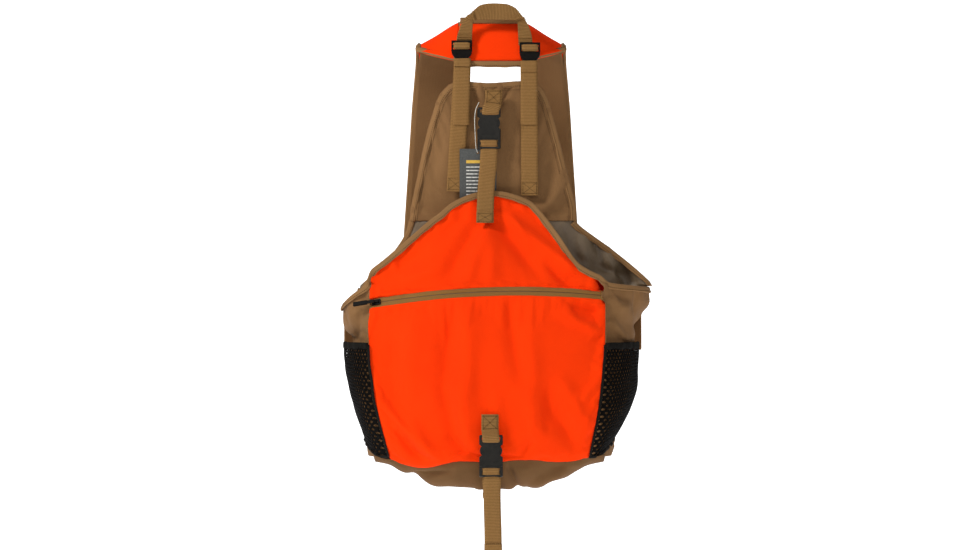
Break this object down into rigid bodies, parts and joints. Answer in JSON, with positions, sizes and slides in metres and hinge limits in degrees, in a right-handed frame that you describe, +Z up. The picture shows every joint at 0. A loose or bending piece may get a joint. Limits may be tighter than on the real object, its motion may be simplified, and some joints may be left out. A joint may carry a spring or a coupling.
{
  "type": "upland field vest",
  "caption": "Strap-style field vest with padded yoke and shoulder straps, rear game bag with zipper, mesh side pockets, cargo pockets and side-release buckles.",
  "frame": {"origin": "where a hook bears, under the crest of the grab handle, on the mid-plane of the vest", "axes": "+Z up as worn, -Y out of the wearer's back, +X to the right of someone who looks at the back"},
  "size_m": [0.4649, 0.3909, 0.8204],
  "materials": {
    "orange_cloth": "blaze orange plain-weave polyester cloth",
    "tan_packcloth": "coated tan pack cloth",
    "tan_binding": "grosgrain binding tape",
    "tan_webbing": "ribbed polypropylene webbing",
    "grey_lining": "coated taffeta lining",
    "black_mesh": "knitted diamond mesh",
    "black_elastic": "ribbed elastic tape",
    "zipper_tape": "herringbone zipper tape",
    "zipper_coil": "nylon coil",
    "black_plastic": "moulded acetal, satin",
    "black_metal": "black painted zinc",
    "tag_card": "dark grey printed card",
    "white_string": "cotton string"
  },
  "bodies": {
    "vest": {"yoke_panel": "orange_cloth", "shoulder_strap_left": "orange_cloth", "shoulder_strap_right": "orange_cloth", "grab_handle": "tan_webbing", "back_panel": "tan_packcloth", "back_panel_binding": "tan_binding", "bag_liner": "grey_lining", "bag_panel_upper": "orange_cloth", "bag_panel_lower": "orange_cloth", "bag_mouth_binding": "tan_binding", "side_panel_left": "tan_packcloth", "mesh_pocket_left": "black_mesh", "side_panel_right": "tan_packcloth", "mesh_pocket_right": "black_mesh", "pocket_elastics": "black_elastic", "bag_bottom": "tan_packcloth", "zipper_tape": "zipper_tape", "zipper_coil": "zipper_coil", "upper_buckle_female": "black_plastic", "lower_buckle_female": "black_plastic", "waist_buckle_female": "black_plastic", "sternum_buckle_female": "black_plastic", "load_strap_left": "tan_webbing", "load_strap_right": "tan_webbing", "load_strap_tails": "tan_webbing", "upper_anchor_webbing": "tan_webbing", "lower_anchor_webbing": "tan_webbing", "upper_strap": "tan_webbing", "lower_strap": "tan_webbing", "waist_strap_left": "tan_webbing", "waist_strap_right": "tan_webbing", "sternum_strap_left": "tan_webbing", "sternum_strap_right": "tan_webbing", "front_panel_left": "tan_packcloth", "cargo_pocket_left": "tan_packcloth", "front_panel_right": "tan_packcloth", "cargo_pocket_right": "tan_packcloth"},
    "zip_slider": {"zipper_slider": "black_metal"},
    "zip_pull": {"zipper_pull": "black_plastic"},
    "upper_plug": {"upper_buckle_male": "black_plastic"},
    "upper_tine_left": {"upper_buckle_tine_left": "black_plastic"},
    "upper_tine_right": {"upper_buckle_tine_right": "black_plastic"},
    "lower_plug": {"lower_buckle_male": "black_plastic", "lower_strap_tail": "tan_webbing"},
    "lower_tine_left": {"lower_buckle_tine_left": "black_plastic"},
    "lower_tine_right": {"lower_buckle_tine_right": "black_plastic"},
    "waist_plug": {"waist_buckle_male": "black_plastic"},
    "waist_tine_left": {"waist_buckle_tine_left": "black_plastic"},
    "waist_tine_right": {"waist_buckle_tine_right": "black_plastic"},
    "sternum_plug": {"sternum_buckle_male": "black_plastic"},
    "sternum_tine_left": {"sternum_buckle_tine_left": "black_plastic"},
    "sternum_tine_right": {"sternum_buckle_tine_right": "black_plastic"},
    "lock_left": {"ladder_lock_left": "black_plastic"},
    "flap_left": {"pocket_flap_left": "orange_cloth", "flap_snap_left": "black_metal"},
    "lock_right": {"ladder_lock_right": "black_plastic"},
    "flap_right": {"pocket_flap_right": "orange_cloth", "flap_snap_right": "black_metal"},
    "tag": {"hang_tag": "tag_card", "tag_string": "white_string"}
  },
  "joints": [
    {"name": "zipper_slide", "type": "hinge", "parent": "vest", "child": "zip_slider", "pos_m": [0.00904, 0.43578, -0.71131], "axis": [-0.0262, 0.4846, 0.8743], "range_deg": [0, 30.1]},
    {"name": "zipper_pull_swing", "type": "hinge", "parent": "zip_slider", "child": "zip_pull", "pos_m": [-0.175, -0.09114, -0.42475], "axis": [-0.0262, 0.4846, 0.8743], "range_deg": [0, 150]},
    {"name": "upper_buckle_release", "type": "slide", "parent": "vest", "child": "upper_plug", "axis": [0, 0, -1], "range_m": [0, 0.026], "deforming": ["upper_strap", "upper_buckle_tine_left", "upper_buckle_tine_right"]},
    {"name": "upper_tine_left_squeeze", "type": "hinge", "parent": "upper_plug", "child": "upper_tine_left", "pos_m": [-0.013, -0.0465, -0.1742], "axis": [0, 1, 0], "range_deg": [0, 8], "stiffness_Nm_per_rad": 0.02},
    {"name": "upper_tine_right_squeeze", "type": "hinge", "parent": "upper_plug", "child": "upper_tine_right", "pos_m": [0.007, -0.0465, -0.1742], "axis": [0, -1, 0], "range_deg": [0, 8], "stiffness_Nm_per_rad": 0.02},
    {"name": "lower_buckle_release", "type": "slide", "parent": "vest", "child": "lower_plug", "axis": [0, 0, -1], "range_m": [0, 0.026], "deforming": ["lower_strap", "lower_buckle_tine_left", "lower_buckle_tine_right"]},
    {"name": "lower_tine_left_squeeze", "type": "hinge", "parent": "lower_plug", "child": "lower_tine_left", "pos_m": [-0.01, -0.142, -0.6612], "axis": [0, 1, 0], "range_deg": [0, 8], "stiffness_Nm_per_rad": 0.02},
    {"name": "lower_tine_right_squeeze", "type": "hinge", "parent": "lower_plug", "child": "lower_tine_right", "pos_m": [0.01, -0.142, -0.6612], "axis": [0, -1, 0], "range_deg": [0, 8], "stiffness_Nm_per_rad": 0.02},
    {"name": "waist_buckle_release", "type": "slide", "parent": "vest", "child": "waist_plug", "axis": [1, 0, 0], "range_m": [0, 0.026], "deforming": ["waist_strap_right", "waist_buckle_tine_left", "waist_buckle_tine_right"]},
    {"name": "waist_tine_left_squeeze", "type": "hinge", "parent": "waist_plug", "child": "waist_tine_left", "pos_m": [0.0012, 0.216, -0.44], "axis": [0, -1, 0], "range_deg": [0, 8], "stiffness_Nm_per_rad": 0.02},
    {"name": "waist_tine_right_squeeze", "type": "hinge", "parent": "waist_plug", "child": "waist_tine_right", "pos_m": [0.0012, 0.216, -0.46], "axis": [0, 1, 0], "range_deg": [0, 8], "stiffness_Nm_per_rad": 0.02},
    {"name": "sternum_buckle_release", "type": "slide", "parent": "vest", "child": "sternum_plug", "axis": [1, 0, 0], "range_m": [0, 0.026], "deforming": ["sternum_strap_right", "sternum_buckle_tine_left", "sternum_buckle_tine_right"]},
    {"name": "sternum_tine_left_squeeze", "type": "hinge", "parent": "sternum_plug", "child": "sternum_tine_left", "pos_m": [0.0012, 0.184, -0.18], "axis": [0, -1, 0], "range_deg": [0, 8], "stiffness_Nm_per_rad": 0.02},
    {"name": "sternum_tine_right_squeeze", "type": "hinge", "parent": "sternum_plug", "child": "sternum_tine_right", "pos_m": [0.0012, 0.184, -0.2], "axis": [0, 1, 0], "range_deg": [0, 8], "stiffness_Nm_per_rad": 0.02},
    {"name": "ladder_lock_left_tilt", "type": "hinge", "parent": "vest", "child": "lock_left", "pos_m": [-0.044, -0.0115, -0.03497], "axis": [-1, 0, 0], "range_deg": [0, 50]},
    {"name": "pocket_flap_left_lift", "type": "hinge", "parent": "vest", "child": "flap_left", "pos_m": [-0.15221, 0.18009, -0.4405], "axis": [0.85, 0.5268, 0], "range_deg": [0, 85]},
    {"name": "ladder_lock_right_tilt", "type": "hinge", "parent": "vest", "child": "lock_right", "pos_m": [0.0585, -0.01029, -0.03797], "axis": [-1, 0, 0], "range_deg": [0, 50]},
    {"name": "pocket_flap_right_lift", "type": "hinge", "parent": "vest", "child": "flap_right", "pos_m": [0.15756, 0.1801, -0.4405], "axis": [0.853, -0.5219, 0], "range_deg": [0, 85]},
    {"name": "hang_tag_swing", "type": "hinge", "parent": "vest", "child": "tag", "pos_m": [-0.018, -0.044, -0.1275], "axis": [0, 1, 0], "range_deg": [0, 20], "deforming": ["tag_string"]}
  ],
  "couplings": [
    {"joint": "upper_tine_right_squeeze", "follows": "upper_tine_left_squeeze", "ratio": 1},
    {"joint": "lower_tine_right_squeeze", "follows": "lower_tine_left_squeeze", "ratio": 1},
    {"joint": "waist_tine_right_squeeze", "follows": "waist_tine_left_squeeze", "ratio": 1},
    {"joint": "sternum_tine_right_squeeze", "follows": "sternum_tine_left_squeeze", "ratio": 1}
  ]
}
